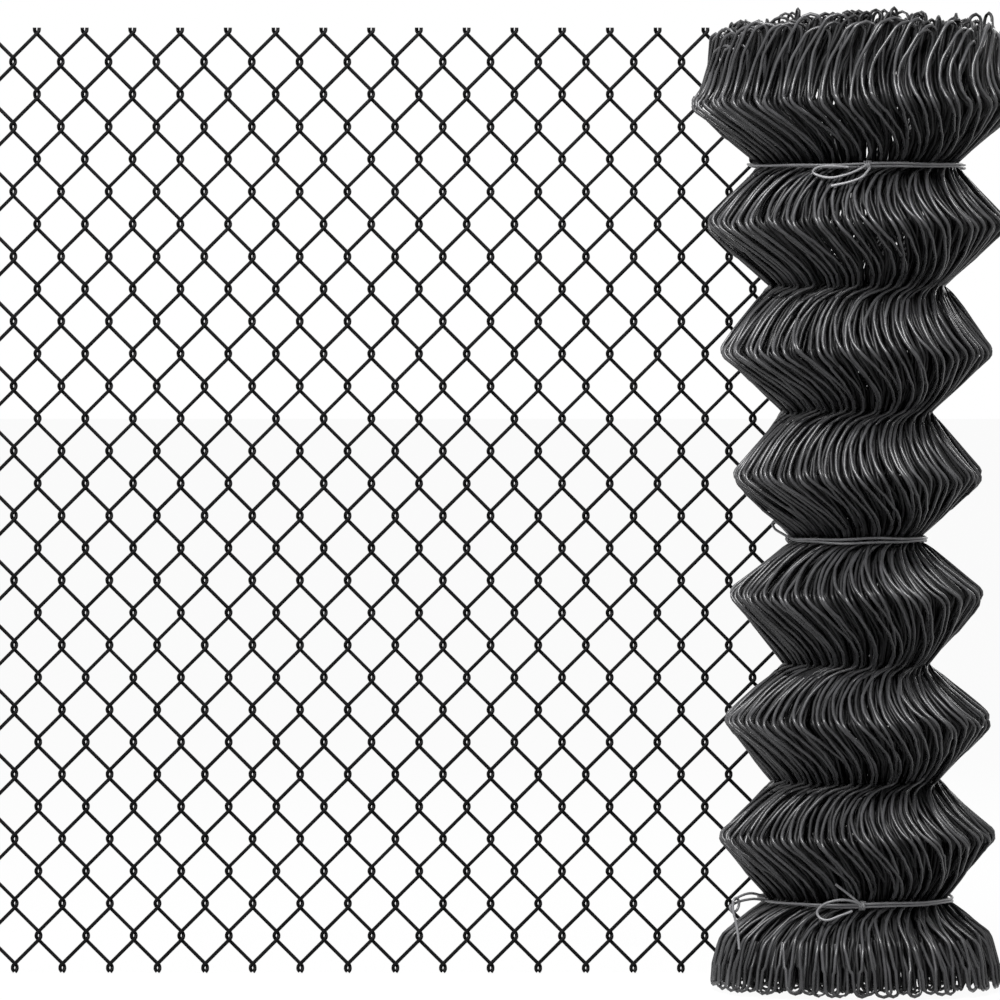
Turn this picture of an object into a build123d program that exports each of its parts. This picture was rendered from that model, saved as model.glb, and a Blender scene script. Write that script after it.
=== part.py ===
from build123d import *
from math import atan2, cos, degrees, pi, radians, sin
import os

os.makedirs("parts", exist_ok=True)

# Wire and mesh of the flat stretch.
fence_height = 1219.2
wire_radius = 1.9
mesh_wire_count = 34
column_spacing = 30.7
half_pitch = 41.71
hook_reach = 2.9  # a bend passes its column by this much
plane_offset = 2.8  # front and back strands lie this far from the middle plane
bottom_hook_height = 6.8
tail_gap = 0.6  # the closing tail ends this far from its column
cut_allowance = 6.0  # run past the last hook, before the top is cut level
bar_sides = 3
bar_radius = 1.4 * wire_radius  # circumradius of the few-sided bar that stands for the wire

# Standing roll: heights and radii of its bulges and necks, from the foot that flares out on the floor up.
roll_wire_count = 36
roll_offset = 1107.4  # roll axis, measured from the first column
foot_height = -1.0
foot_radius = 178.0
bulge_heights = [68.0, 194.0, 340.0, 499.0, 647.0, 805.0, 967.0, 1117.0]
bulge_radii = [168.0, 174.0, 167.0, 158.0, 156.0, 171.0, 189.0, 210.0]
neck_heights = [115.0, 263.0, 411.0, 570.0, 731.0, 888.0, 1040.0]
neck_radii = [114.0, 108.0, 95.0, 80.0, 97.0, 114.0, 128.0]
crown_height = 1243.0
crown_radius = 176.0
roll_lean = 11.0  # bends shift this far round the roll, rings one way and necks the other
inner_share = 0.8  # size of the inner lap's bulges against the outer lap's
inner_spacing = 2  # the inner lap has a wire behind every second one of the outer lap
lap_clearance = 0.4  # between the two laps where they are pressed together at the necks

mesh_gap = 1.5  # between the roll's widest bulge and the flat stretch

# Ties round the necks and lashings behind the roll.
tie_side = 2.6
tie_sides_round = 18
tie_clearance = 0.3
tie_strand_gap = 4.2
twist_radius = 3.4
twist_length = 16.0
lashing_side = 2.4
lashing_rise = 12.0  # above the hook that it holds
lashing_fit = 0.85  # how far a bar reaches towards its lashing, against its corner radius

# Everything below follows from the sizes above.
link_rise = half_pitch - column_spacing - 2 * hook_reach
strands_per_wire = int((fence_height - bottom_hook_height) / half_pitch)
tied_necks = [0, len(neck_heights) // 2, len(neck_heights) - 1]
lashed_bulges = [0, len(bulge_heights) // 2, len(bulge_heights) - 1]
roll_sides = ["right", "back", "left", "front"]
wires_per_side = roll_wire_count // len(roll_sides)
turn_step = 360 / roll_wire_count
wire_turns = [turn_step * (number - (wires_per_side - 1) / 2) for number in range(roll_wire_count)]


def hook_height(number):
    return bottom_hook_height + number * half_pitch


def mesh_wire_path():
    # One wire about its own middle. It starts at the bottom right, then back and front strands take turns.
    reach = column_spacing / 2 + hook_reach
    half_rise = link_rise / 2
    tail = hook_reach - tail_gap
    points = [(reach - tail, -plane_offset, hook_height(0) - half_rise - tail)]
    for number in range(strands_per_wire):
        side = 1 if number % 2 == 0 else -1
        points.append((side * reach, -side * plane_offset, hook_height(number) - half_rise))
        points.append((side * reach, side * plane_offset, hook_height(number) + half_rise))
    side = 1 if strands_per_wire % 2 == 0 else -1
    last_height = hook_height(strands_per_wire) - half_rise + cut_allowance
    points.append((side * (reach + cut_allowance), -side * plane_offset, last_height))
    return points


def neck_slopes(share):
    # How steeply a wire leaves each neck, the steeper of its two strands.
    slopes = []
    for number, neck in enumerate(neck_radii):
        out_below = (share * bulge_radii[number] - neck) / (neck_heights[number] - bulge_heights[number])
        rise_above = bulge_heights[number + 1] - neck_heights[number]
        out_above = (share * bulge_radii[number + 1] - neck) / rise_above
        slopes.append(max(out_below, out_above))
    return slopes


def bar_half(slope):
    # Half the thickness of a bar, measured level, where it climbs at this slope.
    return bar_radius * (1 + slope**2) ** 0.5


def inner_neck_radii():
    # The inner lap is pressed against the outer one at every neck, flat side of its bars outwards.
    pairs = zip(neck_radii, neck_slopes(1), neck_slopes(inner_share))
    return [neck - bar_half(outer) - bar_half(inner) / 2 - lap_clearance for neck, outer, inner in pairs]


def roll_wire_path(share, necks):
    # One edge-on wire of the roll: out at every bulge, in at every neck, leaning to and fro on its way.
    points = [(share * foot_radius, roll_lean, foot_height)]
    for number, neck in enumerate(necks):
        points.append((share * bulge_radii[number], -roll_lean, bulge_heights[number]))
        points.append((neck, roll_lean, neck_heights[number]))
    points.append((share * bulge_radii[-1], -roll_lean, bulge_heights[-1]))
    points.append((share * crown_radius, roll_lean, crown_height))
    return points


def roll_place(height):
    # How far out and how far round an outer roll wire is at this height.
    points = roll_wire_path(1, neck_radii)
    for low, high in zip(points, points[1:]):
        if low[2] <= height <= high[2]:
            share = (height - low[2]) / (high[2] - low[2])
            return low[0] + (high[0] - low[0]) * share, low[1] + (high[1] - low[1]) * share
    return foot_radius, roll_lean


def nearest_hook_strand(height):
    # Height of the last wire's strand just above the hook on its free side that comes nearest.
    first = (mesh_wire_count - 1) % 2
    heights = [hook_height(number) + lashing_rise for number in range(first, strands_per_wire, 2)]
    return min(heights, key=lambda level: abs(level - height))


def first_plane(points):
    # Across the first stretch of a path, with the same side of the bar always facing out.
    start = Vector(*points[0])
    along = Vector(*points[1]) - start
    return Plane(origin=start, x_dir=Vector(0, 1, 0).cross(along), z_dir=along)


mesh_points = mesh_wire_path()
with BuildPart() as mesh_wire:
    with BuildLine():
        Polyline(*mesh_points)
    with BuildSketch(first_plane(mesh_points)):
        RegularPolygon(bar_radius, bar_sides)
    sweep(transition=Transition.RIGHT)
    split(bisect_by=Plane.XY.offset(fence_height), keep=Keep.BOTTOM)
    split(bisect_by=Plane.XY, keep=Keep.TOP)

roll_points = roll_wire_path(1, neck_radii)
with BuildPart() as roll_wire:
    with BuildLine():
        Polyline(*roll_points)
    with BuildSketch(first_plane(roll_points)):
        RegularPolygon(bar_radius, bar_sides)
    sweep(transition=Transition.RIGHT)
    split(bisect_by=Plane.XY, keep=Keep.TOP)

inner_points = roll_wire_path(inner_share, inner_neck_radii())
with BuildPart() as inner_wire:
    with BuildLine():
        Polyline(*inner_points)
    with BuildSketch(first_plane(inner_points)):
        RegularPolygon(bar_radius, bar_sides)
    sweep(transition=Transition.RIGHT)
    split(bisect_by=Plane.XY, keep=Keep.TOP)

# Places of the flat stretch and the roll, from the true extents of the two wires.
mesh_box = mesh_wire.part.bounding_box()
roll_box = roll_wire.part.bounding_box()
left_end = column_spacing / 2 + mesh_box.min.X
right_end = roll_offset + roll_box.max.X
middle_x = (left_end + right_end) / 2
roll_x = roll_offset - middle_x
lashing_half = mesh_box.max.Y + tie_clearance
depth = 2 * roll_box.max.X + mesh_gap - mesh_box.min.Y + lashing_half + lashing_side
roll_y = -depth / 2 + roll_box.max.X
mesh_y = roll_y + roll_box.max.X + mesh_gap - mesh_box.min.Y


def column_x(number):
    return number * column_spacing - middle_x


def roll_wire_spot(turn, height):
    out, along = roll_place(height)
    x = roll_x + out * cos(radians(turn)) - along * sin(radians(turn))
    y = roll_y + out * sin(radians(turn)) + along * cos(radians(turn))
    return x, y


def nearest_roll_wire(x, height):
    # Where the wire at the roll's back that stands nearest to x is at this height.
    spots = [roll_wire_spot(turn, height) for turn in wire_turns if 0 <= turn <= 180]
    return min(spots, key=lambda spot: abs(spot[0] - x))


for number in range(mesh_wire_count):
    turn = 0 if number % 2 == 0 else 180
    middle = column_x(number) + column_spacing / 2
    with BuildPart() as placed_wire:
        with Locations(Location((middle, mesh_y, 0), (0, 0, turn))):
            add(mesh_wire.part)
    name = "mesh_wire_" + str(number + 1).zfill(2)
    placed_wire.part.label = name
    export_step(placed_wire.part, "parts/" + name + ".step")

for side in range(len(roll_sides)):
    with BuildPart() as roll_wires:
        for turn in wire_turns[side * wires_per_side : (side + 1) * wires_per_side]:
            with Locations(Location((roll_x, roll_y, 0), (0, 0, turn))):
                add(roll_wire.part)
    name = "roll_wires_" + roll_sides[side]
    roll_wires.part.label = name
    export_step(roll_wires.part, "parts/" + name + ".step")

with BuildPart() as inner_lap:
    for turn in wire_turns[::inner_spacing]:
        with Locations(Location((roll_x, roll_y, 0), (0, 0, turn))):
            add(inner_wire.part)
inner_lap.part.label = "roll_wires_inner_lap"
export_step(inner_lap.part, "parts/roll_wires_inner_lap.step")

tie_names = ["bottom", "middle", "top"]
tie_half_height = tie_strand_gap / 2 + tie_side / 2
for tie in range(len(tie_names)):
    neck = tied_necks[tie]
    slope = neck_slopes(1)[neck]
    wire_half = bar_half(slope)
    neck_reach = (neck_radii[neck] ** 2 + roll_lean**2) ** 0.5
    inner = neck_reach + slope * tie_half_height + wire_half + tie_clearance
    inner_corner = inner / cos(pi / tie_sides_round)
    outer_corner = (inner + tie_side) / cos(pi / tie_sides_round)
    ring_turn = 90 / tie_sides_round + degrees(atan2(roll_lean, neck_radii[neck]))
    middle_height = neck_heights[neck]
    with BuildPart() as tie_wire:
        for side in [-1, 1]:
            height = middle_height + side * tie_strand_gap / 2 - tie_side / 2
            with BuildSketch(Plane((roll_x, roll_y, height))):
                RegularPolygon(outer_corner, tie_sides_round, rotation=ring_turn)
                RegularPolygon(inner_corner, tie_sides_round, rotation=ring_turn, mode=Mode.SUBTRACT)
            extrude(amount=tie_side)
        twist_middle = roll_y - inner - tie_side / 2
        with BuildSketch(Plane((roll_x, twist_middle, middle_height - twist_length / 2))):
            RegularPolygon(twist_radius, 6)
        extrude(amount=twist_length)
    name = "tie_wire_" + tie_names[tie]
    tie_wire.part.label = name
    export_step(tie_wire.part, "parts/" + name + ".step")

for lashing in range(len(tie_names)):
    height = nearest_hook_strand(bulge_heights[lashed_bulges[lashing]])
    strand_x = column_x(mesh_wire_count) + hook_reach - lashing_rise + link_rise / 2
    wire_x, wire_y = nearest_roll_wire(strand_x, height)
    outs = [roll_place(height + step)[0] for step in [-lashing_side, 0, lashing_side]]
    slope = max(abs(outs[2] - outs[1]), abs(outs[1] - outs[0])) / lashing_side
    wire_half = lashing_fit * bar_half(slope) + slope * lashing_side / 2
    front = wire_y - wire_half - tie_clearance
    back = mesh_y + lashing_half
    strand_half = bar_radius * 2**0.5 + lashing_side / 2 + tie_clearance
    left = min(strand_x, wire_x) - strand_half
    right = max(strand_x, wire_x) + strand_half
    middle = ((left + right) / 2, (front + back) / 2, height - lashing_side / 2)
    with BuildPart() as lashing_wire:
        with BuildSketch(Plane(middle)):
            Rectangle(right - left + 2 * lashing_side, back - front + 2 * lashing_side)
            Rectangle(right - left, back - front, mode=Mode.SUBTRACT)
        extrude(amount=lashing_side)
    name = "lashing_" + tie_names[lashing]
    lashing_wire.part.label = name
    export_step(lashing_wire.part, "parts/" + name + ".step")
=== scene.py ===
from math import atan, cos, degrees, pi, radians, sin

import bpy
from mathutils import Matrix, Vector


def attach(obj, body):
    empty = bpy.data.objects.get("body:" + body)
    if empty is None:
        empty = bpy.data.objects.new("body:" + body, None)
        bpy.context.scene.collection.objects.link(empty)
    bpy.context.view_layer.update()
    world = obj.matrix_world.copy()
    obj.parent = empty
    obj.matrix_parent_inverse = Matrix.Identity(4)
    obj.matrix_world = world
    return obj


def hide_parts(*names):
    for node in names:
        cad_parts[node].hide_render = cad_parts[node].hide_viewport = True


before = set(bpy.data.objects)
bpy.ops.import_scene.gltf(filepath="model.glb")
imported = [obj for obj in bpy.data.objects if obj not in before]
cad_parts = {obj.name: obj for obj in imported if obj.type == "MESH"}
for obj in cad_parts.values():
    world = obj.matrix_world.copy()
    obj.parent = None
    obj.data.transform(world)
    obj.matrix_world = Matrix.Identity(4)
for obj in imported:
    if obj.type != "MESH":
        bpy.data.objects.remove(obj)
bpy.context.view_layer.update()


# Small helpers for node trees: sums on sockets become Math nodes.
class Value:
    def __init__(self, graph, socket):
        self.graph = graph
        self.socket = socket

    def __add__(self, other):
        return self.graph.maths("ADD", self, other)

    def __radd__(self, other):
        return self.graph.maths("ADD", other, self)

    def __sub__(self, other):
        return self.graph.maths("SUBTRACT", self, other)

    def __rsub__(self, other):
        return self.graph.maths("SUBTRACT", other, self)

    def __mul__(self, other):
        return self.graph.maths("MULTIPLY", self, other)

    def __truediv__(self, other):
        return self.graph.maths("DIVIDE", self, other)

    def __rtruediv__(self, other):
        return self.graph.maths("DIVIDE", other, self)


class Graph:
    def __init__(self, tree):
        self.tree = tree

    def add(self, kind, settings=None, inputs=None, output=0):
        node = self.tree.nodes.new(kind)
        for name, setting in (settings or {}).items():
            setattr(node, name, setting)
        for name, value in (inputs or {}).items():
            if isinstance(value, Value):
                self.tree.links.new(value.socket, node.inputs[name])
            else:
                node.inputs[name].default_value = value
        return Value(self, node.outputs[output])

    def of(self, value, output):
        # Another output of the same node.
        return Value(self, value.socket.node.outputs[output])

    def maths(self, operation, first, second=0.0):
        return self.add("ShaderNodeMath", {"operation": operation}, {0: first, 1: second})

    def vector(self, x, y, z):
        return self.add("ShaderNodeCombineXYZ", None, {"X": x, "Y": y, "Z": z})

    def mixColour(self, factor, first, second):
        return self.add("ShaderNodeMix", {"data_type": "RGBA"}, {0: factor, 6: first, 7: second}, 2)


def newTree(name, inputs):
    # A geometry tree with named inputs; each input is (name, socket type, first value).
    tree = bpy.data.node_groups.new(name, "GeometryNodeTree")
    tree.interface.new_socket("Geometry", in_out="INPUT", socket_type="NodeSocketGeometry")
    for label, kind, value in inputs:
        socket = tree.interface.new_socket(label, in_out="INPUT", socket_type=kind)
        if value is not None:
            socket.default_value = value
    tree.interface.new_socket("Geometry", in_out="OUTPUT", socket_type="NodeSocketGeometry")
    graph = Graph(tree)
    entry = tree.nodes.new("NodeGroupInput")
    named = {socket.name: Value(graph, socket) for socket in entry.outputs if socket.name}
    return tree, graph, named


def closeTree(graph, geometry, material):
    # Every geometry tree ends the same way.
    smooth = graph.add("GeometryNodeSetShadeSmooth", None, {"Geometry": geometry})
    real = graph.add("GeometryNodeRealizeInstances", None, {"Geometry": smooth})
    painted = graph.add("GeometryNodeSetMaterial", None, {"Geometry": real, "Material": material})
    leave = graph.tree.nodes.new("NodeGroupOutput")
    graph.tree.links.new(painted.socket, leave.inputs[0])


def roundTube(graph, curve, named):
    # Round wire along a curve.
    ring = graph.add("GeometryNodeCurvePrimitiveCircle", None,
                     {"Resolution": named["Sides"], "Radius": named["Radius"]})
    return graph.add("GeometryNodeCurveToMesh", None,
                     {"Curve": curve, "Profile Curve": ring, "Fill Caps": True})


def madeBy(tree, name, values, points=None, marks=None):
    # Runs the tree on a polyline and keeps the result as a plain mesh. Marks are numbers on its points.
    line = bpy.data.meshes.new(name + "Line")
    points = points or [(0, 0, 0)]
    line.from_pydata(points, [(i, i + 1) for i in range(len(points) - 1)], [])
    for label, numbers in (marks or {}).items():
        mark = line.attributes.new(label, "FLOAT", "POINT")
        mark.data.foreach_set("value", numbers)
    piece = bpy.data.objects.new(name, line)
    bpy.context.scene.collection.objects.link(piece)
    modifier = piece.modifiers.new("make", "NODES")
    modifier.node_group = tree
    for item in tree.interface.items_tree:
        if item.item_type == "SOCKET" and item.in_out == "INPUT" and item.name in values:
            modifier[item.identifier] = values[item.name]
    bpy.context.view_layer.update()
    ready = piece.evaluated_get(bpy.context.evaluated_depsgraph_get())
    plain = bpy.data.meshes.new_from_object(ready)
    piece.modifiers.remove(modifier)
    plain.name = name
    piece.data = plain
    bpy.data.meshes.remove(line)
    return piece


# Materials: plastic-coated steel wire, nearly black, and the softer grey tie wire. The flat stretch and the
# laps inside the roll take darker copies of the roll's coat, as painted shade. Patches of wear show over a
# fine grain, and both change the colour, the roughness and the relief.
coats = {
    # The roll's coat painted about ten times darker: painted shade on the flat stretch.
    "blackCoatFlatPaintedShade": {"colour": (0.0022, 0.0022, 0.0024, 1), "worn": (0.0045, 0.0045, 0.0048, 1),
                      "roughness": 0.50, "specular": 0.05, "bump": 0.05},
    "blackCoatRoll": {"colour": (0.022, 0.022, 0.023, 1), "worn": (0.040, 0.040, 0.042, 1),
                      "roughness": 0.28, "specular": 0.28, "bump": 0.12},
    # The roll's coat painted darker: painted shade on the wires deep inside the roll.
    "blackCoatInnerPaintedShade": {"colour": (0.009, 0.009, 0.0095, 1), "worn": (0.017, 0.017, 0.0175, 1),
                       "roughness": 0.38, "specular": 0.14, "bump": 0.12},
    "greyCoatTie": {"colour": (0.11, 0.11, 0.115, 1), "worn": (0.17, 0.17, 0.175, 1),
                    "roughness": 0.34, "specular": 0.35, "bump": 0.12},
}
wear = {
    "grainSize": 320.0,
    "grainTint": 0.15,
    "grainRoughness": 0.05,
    "grainHeight": 0.3,
    "patchSize": 28.0,
    "patchTint": 0.85,
    "patchRoughness": 0.22,
    "patchHeight": 0.7,
    "patchFrom": 0.42,
    "patchTo": 0.68,
    "depth": 0.0004,
}


def coatedWire(name):
    coat = coats[name]
    material = bpy.data.materials.new(name)
    material.use_nodes = True
    tree = material.node_tree
    tree.nodes.clear()
    graph = Graph(tree)
    place = graph.add("ShaderNodeTexCoord", output=3)
    patches = graph.add("ShaderNodeTexNoise", None,
                        {"Vector": place, "Scale": wear["patchSize"], "Detail": 3.0, "Roughness": 0.6})
    grain = graph.add("ShaderNodeTexNoise", None,
                      {"Vector": place, "Scale": wear["grainSize"], "Detail": 2.0, "Roughness": 0.5})
    cover = graph.add("ShaderNodeMapRange", None,
                      {"Value": patches, "From Min": wear["patchFrom"], "From Max": wear["patchTo"],
                       "To Min": 0.0, "To Max": 1.0})
    tint = graph.mixColour(cover * wear["patchTint"] + grain * wear["grainTint"],
                           coat["colour"], coat["worn"])
    rough = (coat["roughness"] + (patches - 0.5) * wear["patchRoughness"]
             + (grain - 0.5) * wear["grainRoughness"])
    relief = graph.add("ShaderNodeBump", None,
                       {"Height": grain * wear["grainHeight"] + patches * wear["patchHeight"],
                        "Strength": coat["bump"], "Distance": wear["depth"]})
    shader = graph.add("ShaderNodeBsdfPrincipled", None,
                       {"Base Color": tint, "Roughness": rough, "Normal": relief,
                        "Specular IOR Level": coat["specular"], "IOR": 1.5})
    leave = tree.nodes.new("ShaderNodeOutputMaterial")
    tree.links.new(shader.socket, leave.inputs["Surface"])
    return material


# Painted shade: the flat stretch takes a far darker copy of the roll's coat.
paintedShadeFlatCoat = coatedWire("blackCoatFlatPaintedShade")
rollCoat = coatedWire("blackCoatRoll")
# Painted shade: every lap inside the outer one takes a darker copy of the roll's coat.
paintedShadeInnerCoat = coatedWire("blackCoatInnerPaintedShade")
tieCoat = coatedWire("greyCoatTie")
print("materials ready")


# Flat stretch: one flattened coil of wire to a column, hooked bend in bend. Every other wire is turned half
# round. Each wire ends in a tail at the bottom and is cut level through its hook at the top.
mesh = {
    "wires": 34,
    "strands": 29,
    "spacing": 0.0307,
    "halfPitch": 0.04171,
    "reach": 0.0029,
    "plane": 0.0026,
    "bottomHook": 0.0068,
    "top": 1.2188,
    "radius": 0.0024,
    "sides": 8,
    "bend": 0.0048,
    "bendTurns": 4,
    "tail": 0.0023,
    "firstColumn": -0.65508,
    "middle": 0.21235,
}


def meshWireTree():
    inputs = [
        ("Strands", "NodeSocketInt", 29),
        ("Spacing", "NodeSocketFloat", 0.03),
        ("Half Pitch", "NodeSocketFloat", 0.04),
        ("Reach", "NodeSocketFloat", 0.003),
        ("Plane", "NodeSocketFloat", 0.003),
        ("Bottom Hook", "NodeSocketFloat", 0.007),
        ("Top", "NodeSocketFloat", 1.2),
        ("Radius", "NodeSocketFloat", 0.002),
        ("Sides", "NodeSocketInt", 8),
        ("Bend", "NodeSocketFloat", 0.005),
        ("Bend Turns", "NodeSocketInt", 4),
        ("Tail", "NodeSocketFloat", 0.003),
        ("Across", "NodeSocketFloat", 0.0),
        ("Depth", "NodeSocketFloat", 0.0),
        ("Turn", "NodeSocketFloat", 0.0),
        ("Material", "NodeSocketMaterial", None),
    ]
    tree, graph, named = newTree("wovenWire", inputs)
    strands, reach, plane = named["Strands"], named["Reach"], named["Plane"]
    # One point for the tail, then two at each bend: over is 0 below the bend and 1 above it.
    line = graph.add("GeometryNodeMeshLine", None, {"Count": strands * 2 + 3})
    index = graph.add("GeometryNodeInputIndex")
    bend = graph.maths("FLOOR", (index - 1) / 2)
    over = (index - 1) - bend * 2
    side = 1 - graph.maths("FLOORED_MODULO", bend, 2.0) * 2
    across = named["Spacing"] / 2 + reach
    rise = named["Half Pitch"] - named["Spacing"] - reach * 2
    isFirst = graph.maths("LESS_THAN", index, 0.5)
    x = side * across * (1 - isFirst) + (across - named["Tail"]) * isFirst
    y = side * (over * 2 - 1) * plane
    straightZ = named["Bottom Hook"] + bend * named["Half Pitch"] + (over - 0.5) * rise
    tailZ = named["Bottom Hook"] - rise * 0.5 - named["Tail"]
    z = straightZ * (1 - isFirst) + tailZ * isFirst
    placed = graph.add("GeometryNodeSetPosition", None,
                       {"Geometry": line, "Position": graph.vector(x, y, z)})
    path = graph.add("GeometryNodeMeshToCurve", None, {"Mesh": placed})
    rounded = graph.add("GeometryNodeFilletCurve", {"mode": "POLY"},
                        {"Curve": path, "Count": named["Bend Turns"], "Radius": named["Bend"],
                         "Limit Radius": True})
    tube = roundTube(graph, rounded, named)
    position = graph.add("GeometryNodeInputPosition")
    height = graph.add("ShaderNodeSeparateXYZ", None, {"Vector": position}, 2)
    extra = graph.maths("MAXIMUM", height - named["Top"], 0.0)
    cut = graph.add("GeometryNodeSetPosition", None,
                    {"Geometry": tube, "Offset": graph.vector(0.0, 0.0, extra * -1)})
    moved = graph.add("GeometryNodeTransform", None,
                      {"Geometry": cut, "Translation": graph.vector(named["Across"], named["Depth"], 0.0),
                       "Rotation": graph.vector(0.0, 0.0, named["Turn"])})
    closeTree(graph, moved, named["Material"])
    return tree


wireTree = meshWireTree()
for number in range(mesh["wires"]):
    label = str(number + 1).zfill(2)
    piece = madeBy(wireTree, "woven_wire_" + label, {
        "Strands": mesh["strands"], "Spacing": mesh["spacing"], "Half Pitch": mesh["halfPitch"],
        "Reach": mesh["reach"], "Plane": mesh["plane"], "Bottom Hook": mesh["bottomHook"],
        "Top": mesh["top"], "Radius": mesh["radius"], "Sides": mesh["sides"], "Bend": mesh["bend"],
        "Bend Turns": mesh["bendTurns"], "Tail": mesh["tail"],
        "Across": mesh["firstColumn"] + (number + 0.5) * mesh["spacing"], "Depth": mesh["middle"],
        # The flat coat's dark colour is painted shade.
        "Turn": 0.0 if number % 2 == 0 else pi, "Material": paintedShadeFlatCoat,
    })
    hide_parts("mesh_wire_" + label)
    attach(piece, "root")
print("flat stretch woven,", mesh["wires"], "wires")


# Standing roll: every wire is turned edge-on, so its bends make the rings and the necks.
roll = {
    "x": 0.45232,
    "y": -0.00755,
    "ringHeights": [0.068, 0.194, 0.340, 0.499, 0.647, 0.805, 0.967, 1.117],
    "ringRadii": [0.168, 0.174, 0.167, 0.158, 0.156, 0.171, 0.189, 0.2085],
    "neckHeights": [0.115, 0.263, 0.411, 0.570, 0.731, 0.888, 1.040],
    "neckRadii": [0.114, 0.108, 0.095, 0.080, 0.097, 0.114, 0.128],
    "tipExtra": 0.004,
    "neckExtra": -0.004,
    "ringBend": 0.013,
    "neckBend": 0.006,
    "strandBend": 0.050,
    "radius": 0.0022,
    "top": 1.2434,
    "neckShift": 0.032,
    "floorGap": 0.003,
    "lapRise": 0.6,
    "widestFoot": 0.018,
    "clear": 0.0001,
    # Strands as (share of the way up, shift round the roll): lower ones run from a neck up to a ring, and
    # upper ones from the ring up to the next neck.
    "lowerStrand": [(0.22, 0.0420), (0.52, 0.0310), (0.80, 0.0145)],
    "upperStrand": [(0.20, -0.0095), (0.52, -0.0110), (0.80, 0.0010), (0.93, 0.0120)],
    "skirtStrand": [(0.45, -0.0020), (0.85, 0.0100)],
}
# How loosely the wires lie, in metres but for the first two: neighbours pair up by a share of the spacing,
# their lean varies by a share, and the ends stray more than the middle.
loose = {
    "pairing": 0.20,
    "lean": 0.55,
    "drift": 0.0050,
    "wireDrift": 0.0028,
    "endDrift": 0.0130,
    "inward": 0.0055,
    "endDepth": 0.008,
    "height": 0.0045,
    "crownHeight": 0.024,
    "footHeight": 0.009,
    "legHeight": 0.028,
    "sideSlump": 0.016,
}
# Laps from the outside inwards. The rings shrink by a share and the necks are pressed together by a step.
# Turns divide the bends, and skip leaves out corners of the strands that don't show.
lapColumns = ["wires", "share", "step", "turns", "strandTurns", "skip", "sides", "seed", "wander", "lean",
              "loopWidth", "loopHeight"]
lapRows = {
    "roll_outer_lap": (72, 1.00, 0.000, 3, 2, 1, 6, 3.1, 1.7, 1.0, 0.023, 1.211),
    "roll_second_lap": (76, 0.94, 0.005, 3, 1, 1, 5, 8.7, 1.5, 0.7, 0.021, 1.217),
    "roll_third_lap": (78, 0.89, 0.008, 2, 1, 1, 4, 15.3, 1.3, 0.8, -0.020, 1.221),
    "roll_fourth_lap": (88, 0.85, 0.012, 2, 1, 2, 4, 22.9, 1.3, 0.6, 0.019, 1.220),
    "roll_fifth_lap": (86, 0.80, 0.016, 2, 1, 2, 4, 31.7, 1.3, 0.9, -0.018, 1.212),
    "roll_sixth_lap": (84, 0.75, 0.020, 2, 1, 2, 4, 44.3, 1.3, 0.5, 0.018, 1.204),
    "roll_inner_lap": (82, 0.70, 0.024, 2, 1, 2, 4, 57.9, 1.3, 0.8, -0.017, 1.196),
}
lapNodes = {
    "roll_outer_lap": ["roll_wires_front", "roll_wires_left", "roll_wires_back", "roll_wires_right"],
    "roll_fifth_lap": ["roll_wires_inner_lap"],
}


def between(low, high, share):
    return low + (high - low) * share


def strandCorners(rho, height, place, strand, lap):
    # Corners of one strand: rho, height and place are pairs, from its lower end to its upper one.
    return [(between(*rho, way), shift, between(*height, way), place + way,
             roll["strandBend"], lap["strandTurns"]) for way, shift in strand[::lap["skip"]]]


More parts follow.
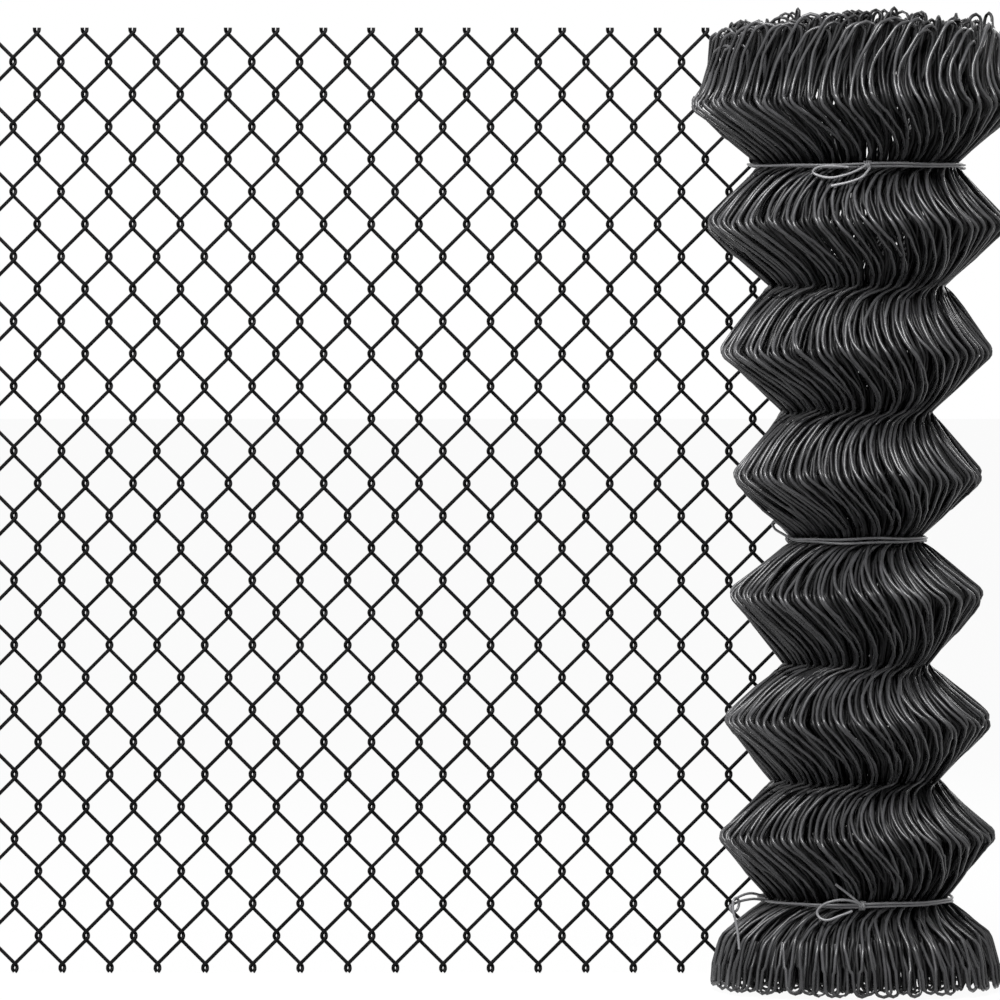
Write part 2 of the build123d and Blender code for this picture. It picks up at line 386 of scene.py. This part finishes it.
def rollWireLine(lap):
    # Corners of one wire, each with its distance from the roll's axis, its shift round the roll, its height,
    # its place in the zigzag, the radius of its bend and how finely the bend is divided. The place is 0 at
    # the foot, odd at a ring, even at a neck and 16 at the top of the crown.
    share, turns = lap["share"], lap["turns"]
    rings = [(reach + roll["tipExtra"]) * share for reach in roll["ringRadii"]]
    necks = [reach + roll["neckExtra"] - lap["step"] for reach in roll["neckRadii"]]
    ringZ, neckZ = roll["ringHeights"], roll["neckHeights"]

    # Foot: a hairpin from its hidden leg round to the first ring.
    foot = max(min(lap["loopWidth"], roll["widestFoot"]), -roll["widestFoot"])
    low = lap["step"] * roll["lapRise"] + roll["floorGap"]
    sideBend, tipBend = abs(foot) * 0.6, abs(foot) * 0.9
    corners = [
        (0.158 * share, 0.55 * foot, low + 0.066, 0.6, 0.01, 1),
        (0.173 * share, 0.90 * foot, low + 0.036, 0.3, 0.03, 2),
        (0.180 * share, 1.00 * foot, low + 0.006, 0.0, sideBend, turns),
        (0.182 * share, 0.48 * foot, low, 0.0, tipBend, 2),
        (0.183 * share, -0.04 * foot, low + 0.006, 0.0, sideBend, turns),
        (0.181 * share, -0.001, low + 0.034, 0.4, 0.02, 1),
        (rings[0], -0.003, ringZ[0], 1.0, 0.03, turns),
    ]

    # Rings and necks in turn.
    for number in range(len(necks)):
        ring, neck, above = number, 2 * number + 2, number + 1
        strand = roll["upperStrand"] if number > 0 else roll["skirtStrand"]
        corners += strandCorners((rings[ring], necks[ring]), (ringZ[ring], neckZ[ring]), neck - 1,
                                 strand, lap)
        corners.append((necks[ring], roll["neckShift"], neckZ[ring], neck, roll["neckBend"], 1))
        corners += strandCorners((necks[ring], rings[above]), (neckZ[ring], ringZ[above]), neck,
                                 roll["lowerStrand"], lap)
        corners.append((rings[above], 0.0, ringZ[above], neck + 1, roll["ringBend"], turns))

    # Crown: a wider hairpin that leans to the right and ends inside the roll.
    width, top = lap["loopWidth"], lap["loopHeight"]
    sideBend, tipBend = abs(width) * 0.6, abs(width) * 0.8
    corners += [
        (0.194 * share, -0.007, 1.144, 15.4, 0.06, 3),
        (0.190 * share, 0.003, 1.178, 15.7, 0.06, 3),
        (0.187 * share, 0.024, top + 0.001, 16.0, sideBend, turns),
        (0.182 * share, 0.026 + 0.5 * width, top + 0.002 + abs(width) * 0.38, 16.0, tipBend, 2),
        (0.176 * share, 0.028 + width, top + 0.001, 16.0, sideBend, turns),
        (0.171 * share, 0.020 + width, top - 0.026, 16.4, 0.03, 2),
        (0.160 * share, 0.008 + width, top - 0.062, 17.0, 0.01, 1),
    ]
    marks = {"phase": [corner[3] for corner in corners], "bend": [corner[4] for corner in corners],
             "turns": [corner[5] for corner in corners]}
    return [corner[:3] for corner in corners], marks


def rollTree():
    inputs = [
        ("Wires", "NodeSocketInt", 80),
        ("Sides", "NodeSocketInt", 7),
        ("Top", "NodeSocketFloat", 1.24),
        ("Radius", "NodeSocketFloat", 0.002),
        ("Wander", "NodeSocketFloat", 1.0),
        ("Lean", "NodeSocketFloat", 1.0),
        ("Seed", "NodeSocketFloat", 1.0),
        ("Across", "NodeSocketFloat", 0.0),
        ("Depth", "NodeSocketFloat", 0.0),
        ("Material", "NodeSocketMaterial", None),
    ]
    tree, graph, named = newTree("rolledWires", inputs)
    wires = named["Wires"]
    path = graph.add("GeometryNodeMeshToCurve", None, {"Mesh": named["Geometry"]})
    phase = graph.add("GeometryNodeInputNamedAttribute", {"data_type": "FLOAT"}, {"Name": "phase"})
    bend = graph.add("GeometryNodeInputNamedAttribute", {"data_type": "FLOAT"}, {"Name": "bend"})
    turns = graph.add("GeometryNodeInputNamedAttribute", {"data_type": "FLOAT"}, {"Name": "turns"})
    rounded = graph.add("GeometryNodeFilletCurve", {"mode": "POLY"},
                        {"Curve": path, "Count": turns, "Radius": bend, "Limit Radius": True})
    # The bends share one phase each, so it is blurred along the wire before anything depends on it.
    smoothed = graph.add("GeometryNodeBlurAttribute", {"data_type": "FLOAT"},
                         {"Value": phase, "Iterations": 4})
    line = graph.add("GeometryNodeStoreNamedAttribute", {"data_type": "FLOAT", "domain": "POINT"},
                     {"Geometry": rounded, "Name": "phase", "Value": smoothed})
    points = graph.add("GeometryNodeAttributeDomainSize", {"component": "CURVE"}, {"Geometry": line})
    spots = graph.add("GeometryNodeMeshLine", None, {"Count": wires, "Offset": (0.0, 0.0, 0.0)})
    copies = graph.add("GeometryNodeInstanceOnPoints", None, {"Points": spots, "Instance": line})
    real = graph.add("GeometryNodeRealizeInstances", None, {"Geometry": copies})

    # Until here every wire is the same, in one plane but for its shift round the roll: x is the distance from
    # the axis and y the shift.
    index = graph.add("GeometryNodeInputIndex")
    wire = graph.maths("FLOOR", (index + 0.5) / points)
    position = graph.add("GeometryNodeInputPosition")
    rho = graph.add("ShaderNodeSeparateXYZ", None, {"Vector": position}, 0)
    along = graph.of(rho, 1)
    height = graph.of(rho, 2)

    def smoothNoise(shift, pace):
        # Wanders gently up each wire and differs from wire to wire, roughly from -1 to 1.
        place = graph.vector(wire * 7.31 + shift, phase * pace + shift, named["Seed"])
        noise = graph.add("ShaderNodeTexNoise", None, {"Vector": place, "Scale": 1.0, "Detail": 1.0})
        return (noise - 0.5) * 3.2

    # 1 at the foot and at the crown, 0 between the first ring and the last. Then the foot alone, from 1 at
    # its tip, and the crown's hidden leg, up to 1 at its end.
    fromMiddle = graph.maths("ABSOLUTE", phase - 8.0)
    isEnd = graph.maths("MINIMUM", graph.maths("MAXIMUM", fromMiddle - 7.0, 0.0), 1.0)
    isFoot = graph.maths("MAXIMUM", 1 - phase, 0.0)
    isLeg = graph.maths("MAXIMUM", phase - 16.0, 0.0)

    step = 2 * pi / wires
    odd = graph.maths("FLOORED_MODULO", wire, 2.0) * 2 - 1
    pairing = odd * graph.maths("COSINE", phase * pi) * step * loose["pairing"]
    drift = (smoothNoise(0.0, 0.22) * loose["drift"] * named["Wander"]
             + smoothNoise(51.0, 0.0) * loose["wireDrift"]
             + isEnd * smoothNoise(71.0, 0.0) * loose["endDrift"])
    lean = named["Lean"] + smoothNoise(21.0, 0.0) * loose["lean"]
    angle = step * wire + pairing + (along * lean + drift) / rho

    inward = graph.maths("ABSOLUTE", smoothNoise(5.0, 0.4)) * loose["inward"] * named["Wander"]
    outward = rho - inward + isEnd * smoothNoise(41.0, 0.0) * loose["endDepth"]

    # The feet only stray upwards, and the crown slumps a little at the roll's two sides.
    stray = smoothNoise(31.0, 0.0)
    ragged = ((isEnd - isFoot) * stray * loose["crownHeight"]
              + isFoot * graph.maths("ABSOLUTE", stray) * loose["footHeight"])
    waver = smoothNoise(9.0, 0.5) * loose["height"] * named["Wander"] * (1 - isFoot)
    raised = height + waver + ragged + isLeg * smoothNoise(61.0, 0.0) * loose["legHeight"]
    sideways = graph.maths("COSINE", angle)
    slumped = raised - isEnd * (1 - isFoot) * sideways * sideways * loose["sideSlump"]
    lowest = graph.maths("MAXIMUM", slumped, named["Radius"] + roll["clear"])
    highest = graph.maths("MINIMUM", lowest, named["Top"] - named["Radius"] - roll["clear"])

    x = named["Across"] + outward * sideways
    y = named["Depth"] + outward * graph.maths("SINE", angle)
    bent = graph.add("GeometryNodeSetPosition", None,
                     {"Geometry": real, "Position": graph.vector(x, y, highest)})
    closeTree(graph, roundTube(graph, bent, named), named["Material"])
    return tree


lapTree = rollTree()
for name, row in lapRows.items():
    lap = dict(zip(lapColumns, row))
    points, marks = rollWireLine(lap)
    piece = madeBy(lapTree, name, {
        "Wires": lap["wires"], "Sides": lap["sides"], "Top": roll["top"], "Radius": roll["radius"],
        "Wander": lap["wander"], "Lean": lap["lean"], "Seed": lap["seed"],
        "Across": roll["x"], "Depth": roll["y"],
        # The inner coat's darker colour is painted shade inside the roll.
        "Material": rollCoat if name == "roll_outer_lap" else paintedShadeInnerCoat,
    }, points, marks)
    if name in lapNodes:
        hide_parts(*lapNodes[name])
    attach(piece, "root")
    print(name, len(piece.data.polygons), "faces")


# Ties: doubled soft wire round a neck. Each has a knot at some turn from the front, to the right, and loose
# ends as (along the roll, outwards, up) from that knot.
tie = {
    "radius": 0.0017,
    "apart": 0.0046,
    "clear": 0.0072,
    "points": 36,
    "together": 0.4,
    "wave": 0.0009,
    "ripple": 0.0005,
    "knotPoints": 13,
    "knotPitch": 0.0006,
    "knotDepth": 0.0040,
    "knotHeight": 0.0046,
    "knotLift": 0.0005,
}
ties = {
    "bottom": {"neck": 0, "knot": 1, "ends": [
        # Bow at the front and its short end.
        [(0.0, 0.004, 0.001), (-0.010, 0.008, 0.006), (-0.026, 0.013, 0.008), (-0.042, 0.017, 0.003),
         (-0.050, 0.019, -0.006), (-0.047, 0.021, -0.014), (-0.038, 0.022, -0.017), (-0.026, 0.019, -0.012),
         (-0.012, 0.012, -0.006)],
        [(-0.002, 0.004, 0.002), (-0.014, 0.010, 0.013), (-0.029, 0.022, 0.028)],
        # Two ends that stick out at the left, one of them coiled round and hanging down.
        [(-0.1540, 0.000, 0.004), (-0.1480, 0.022, 0.010), (-0.1390, 0.043, 0.008), (-0.1310, 0.060, 0.003)],
        [(-0.1502, 0.000, 0.000), (-0.1460, 0.020, 0.003), (-0.1380, 0.042, 0.002), (-0.1310, 0.060, -0.001),
         (-0.1280, 0.067, -0.004), (-0.1275, 0.064, -0.010), (-0.1290, 0.056, -0.008),
         (-0.1300, 0.052, 0.000), (-0.1290, 0.056, 0.007), (-0.1270, 0.063, 0.004), (-0.1255, 0.065, -0.008),
         (-0.1225, 0.063, -0.025), (-0.1200, 0.063, -0.040), (-0.1175, 0.064, -0.056)],
    ]},
    "middle": {"neck": 3, "knot": -76, "ends": [
        [(0.0, 0.002, 0.002), (-0.006, 0.008, 0.006), (-0.010, 0.017, 0.012), (-0.008, 0.021, 0.019),
         (-0.004, 0.019, 0.022), (0.002, 0.012, 0.016), (0.006, 0.004, 0.006)],
    ]},
    "top": {"neck": 6, "knot": 3, "ends": [
        # Flat bow at the front and its long end.
        [(0.002, 0.004, 0.002), (-0.018, 0.008, -0.009), (-0.040, 0.010, -0.0154), (-0.055, 0.011, -0.014),
         (-0.065, 0.011, -0.009), (-0.059, 0.011, -0.0026), (-0.042, 0.010, -0.001),
         (-0.023, 0.008, -0.0026)],
        [(0.0026, 0.004, -0.003), (-0.007, 0.010, -0.0146), (-0.023, 0.014, -0.0214),
         (-0.042, 0.017, -0.026)],
    ]},
}


def bentWireTree():
    inputs = [
        ("Radius", "NodeSocketFloat", 0.002),
        ("Sides", "NodeSocketInt", 8),
        ("Closed", "NodeSocketBool", False),
        ("Material", "NodeSocketMaterial", None),
    ]
    tree, graph, named = newTree("bentWire", inputs)
    path = graph.add("GeometryNodeMeshToCurve", None, {"Mesh": named["Geometry"]})
    soft = graph.add("GeometryNodeCurveSplineType", {"spline_type": "CATMULL_ROM"}, {"Curve": path})
    shut = graph.add("GeometryNodeSetSplineCyclic", None, {"Geometry": soft, "Cyclic": named["Closed"]})
    fine = graph.add("GeometryNodeSetSplineResolution", None, {"Geometry": shut, "Resolution": 6})
    closeTree(graph, roundTube(graph, fine, named), named["Material"])
    return tree


def roundRoll(height, reach, turn, up=0.0):
    # A point beside the roll: turn in degrees from the front, to the right.
    angle = radians(turn - 90)
    return (roll["x"] + reach * cos(angle), roll["y"] + reach * sin(angle), height + up)


def tieStrand(size, height, reach, side):
    # One round of a tie. Its two strands lie side by side to the right of the knot and draw together to the
    # left of it, where one lies over the other.
    points = []
    for number in range(tie["points"]):
        past = number * 360 / tie["points"]
        turn = size["knot"] + past
        beside = 1 - tie["together"] + tie["together"] * sin(radians(past - 10))
        over = tie["radius"] * 2 * (1 - beside) if side > 0 else 0.0
        wave = tie["wave"] * sin(radians(3 * turn + 40 * side)) + tie["ripple"] * sin(radians(7 * turn))
        points.append(roundRoll(height, reach + over, turn, side * (tie["apart"] / 2 * beside) + wave))
    return points


def tieKnot(size, height, reach):
    # A short coil round both strands.
    points = []
    for number in range(tie["knotPoints"]):
        swing = radians(number * 90)
        aside = (number - (tie["knotPoints"] - 1) / 2) * tie["knotPitch"]
        points.append(roundRoll(height, reach + tie["knotLift"] + tie["knotDepth"] * sin(swing),
                                size["knot"] + degrees(aside / reach), tie["knotHeight"] * cos(swing)))
    return points


bentTree = bentWireTree()
for name, size in ties.items():
    height = roll["neckHeights"][size["neck"]]
    reach = roll["neckRadii"][size["neck"]] + tie["clear"]
    lines = [("strand_1", True, tieStrand(size, height, reach, -1)),
             ("strand_2", True, tieStrand(size, height, reach, 1)),
             ("knot", False, tieKnot(size, height, reach))]
    for number, end in enumerate(size["ends"]):
        points = [roundRoll(height, reach + out, size["knot"] + degrees(aside / reach), up)
                  for aside, out, up in end]
        lines.append(("end_" + str(number + 1), False, points))
    parts = []
    for label, closed, points in lines:
        parts.append(madeBy(bentTree, "tie_" + name + "_" + label, {
            "Radius": tie["radius"], "Closed": closed, "Material": tieCoat}, points))
    bpy.ops.object.select_all(action="DESELECT")
    for part in parts:
        part.select_set(True)
    bpy.context.view_layer.objects.active = parts[0]
    bpy.ops.object.join()
    piece = bpy.context.view_layer.objects.active
    piece.name = "tie_" + name
    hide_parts("tie_wire_" + name)
    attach(piece, "root")
print("ties wound")


# Lashings behind the roll: a closed loop of round wire on the path of each solid, with its corners bent.
lashing = {"radius": 0.0010, "inset": 0.0013, "corner": 0.0030}
for name in ties:
    solid = bpy.data.objects["lashing_" + name]
    corners = [solid.matrix_world @ Vector(corner) for corner in solid.bound_box]
    left, front, low = [min(corner[axis] for corner in corners) + lashing["inset"] for axis in range(3)]
    right, back, high = [max(corner[axis] for corner in corners) - lashing["inset"] for axis in range(3)]
    near, far, height = lashing["corner"], lashing["corner"] * 3, (low + high) / 2
    # Each corner has a far and a near point on both of its sides, which keeps the sides straight.
    path = [
        (left, front + far), (left, front + near), (left + near, front), (left + far, front),
        (right - far, front), (right - near, front), (right, front + near), (right, front + far),
        (right, back - far), (right, back - near), (right - near, back), (right - far, back),
        (left + far, back), (left + near, back), (left, back - near), (left, back - far),
    ]
    piece = madeBy(bentTree, "lashing_" + name + "_loop", {
        "Radius": lashing["radius"], "Closed": True, "Material": tieCoat}, [(x, y, height) for x, y in path])
    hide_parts("lashing_" + name)
    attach(piece, "root")
print("lashings bent")


# Floor, light and camera.
studio = {
    "floorSize": 60.0,
    "floorDrop": 0.0005,
    "floorShade": (0.6, 0.6, 0.6, 1),
    "floorGlow": 0.95,
    "white": (1, 1, 1, 1),
    "world": 0.28,
}
# Each lamp as its place, what it points at, its size and its power.
lamps = {
    "overheadSoftbox": ((-0.4, -1.6, 3.2), (0.2, 0.0, 0.7), (2.4, 1.2), 315.0),
    "backFill": ((1.6, 3.2, 2.2), (0.3, 0.1, 0.6), (2.0, 1.6), 45.0),
    "frontFill": ((-2.4, -3.0, 1.6), (0.2, 0.0, 0.6), (1.6, 1.6), 12.0),
}
# The camera is far off, so that the flat stretch behind the roll comes out nearly as large as beside it.
view = {"sideways": 0.0018, "distance": 11.0, "height": 0.98, "aim": 0.6110, "lens": 307.6, "sensor": 36}


def whiteRays(graph):
    # Camera, glossy and transmission rays see a white studio; the rest get the plain light.
    seen = graph.add("ShaderNodeLightPath")
    clear = graph.maths("MAXIMUM", graph.of(seen, "Is Glossy Ray"), graph.of(seen, "Is Transmission Ray"))
    return graph.maths("MAXIMUM", seen, clear)


# Pale floor that looks nearly white to the camera and still takes the shadow.
bpy.ops.mesh.primitive_plane_add(size=studio["floorSize"], location=(0, 0, -studio["floorDrop"]))
floor = bpy.context.object
floor.name = "studio_floor"
paleFloor = bpy.data.materials.new("paleFloor")
paleFloor.use_nodes = True
paleFloor.node_tree.nodes.clear()
graph = Graph(paleFloor.node_tree)
lit = graph.add("ShaderNodeBsdfDiffuse", None, {"Color": studio["floorShade"]})
glow = graph.add("ShaderNodeEmission", None, {"Color": studio["white"], "Strength": 1.0})
mixed = graph.add("ShaderNodeMixShader", None, {0: whiteRays(graph) * studio["floorGlow"], 1: lit, 2: glow})
leave = paleFloor.node_tree.nodes.new("ShaderNodeOutputMaterial")
paleFloor.node_tree.links.new(mixed.socket, leave.inputs["Surface"])
floor.data.materials.append(paleFloor)

world = bpy.data.worlds.new("studioWorld")
bpy.context.scene.world = world
world.use_nodes = True
world.node_tree.nodes.clear()
graph = Graph(world.node_tree)
soft = graph.add("ShaderNodeBackground", None, {"Color": studio["white"], "Strength": studio["world"]})
white = graph.add("ShaderNodeBackground", None, {"Color": studio["white"], "Strength": 1.0})
mixed = graph.add("ShaderNodeMixShader", None, {0: whiteRays(graph), 1: soft, 2: white})
leave = world.node_tree.nodes.new("ShaderNodeOutputWorld")
world.node_tree.links.new(mixed.socket, leave.inputs["Surface"])

for name, (place, target, size, energy) in lamps.items():
    lamp = bpy.data.lights.new(name, "AREA")
    lamp.shape = "RECTANGLE"
    lamp.size, lamp.size_y = size
    lamp.energy = energy
    holder = bpy.data.objects.new(name, lamp)
    holder.location = place
    holder.rotation_euler = (Vector(target) - Vector(place)).to_track_quat("-Z", "Y").to_euler()
    bpy.context.scene.collection.objects.link(holder)

lens = bpy.data.cameras.new("photoCamera")
lens.lens = view["lens"]
lens.sensor_width = view["sensor"]
camera = bpy.data.objects.new("photoCamera", lens)
camera.location = (view["sideways"], mesh["middle"] - view["distance"], view["height"])
downwards = atan((view["height"] - view["aim"]) / view["distance"])
camera.rotation_euler = (pi / 2 - downwards, 0, 0)
bpy.context.scene.collection.objects.link(camera)
bpy.context.scene.camera = camera
bpy.context.scene.view_settings.view_transform = "Standard"
print("studio ready")
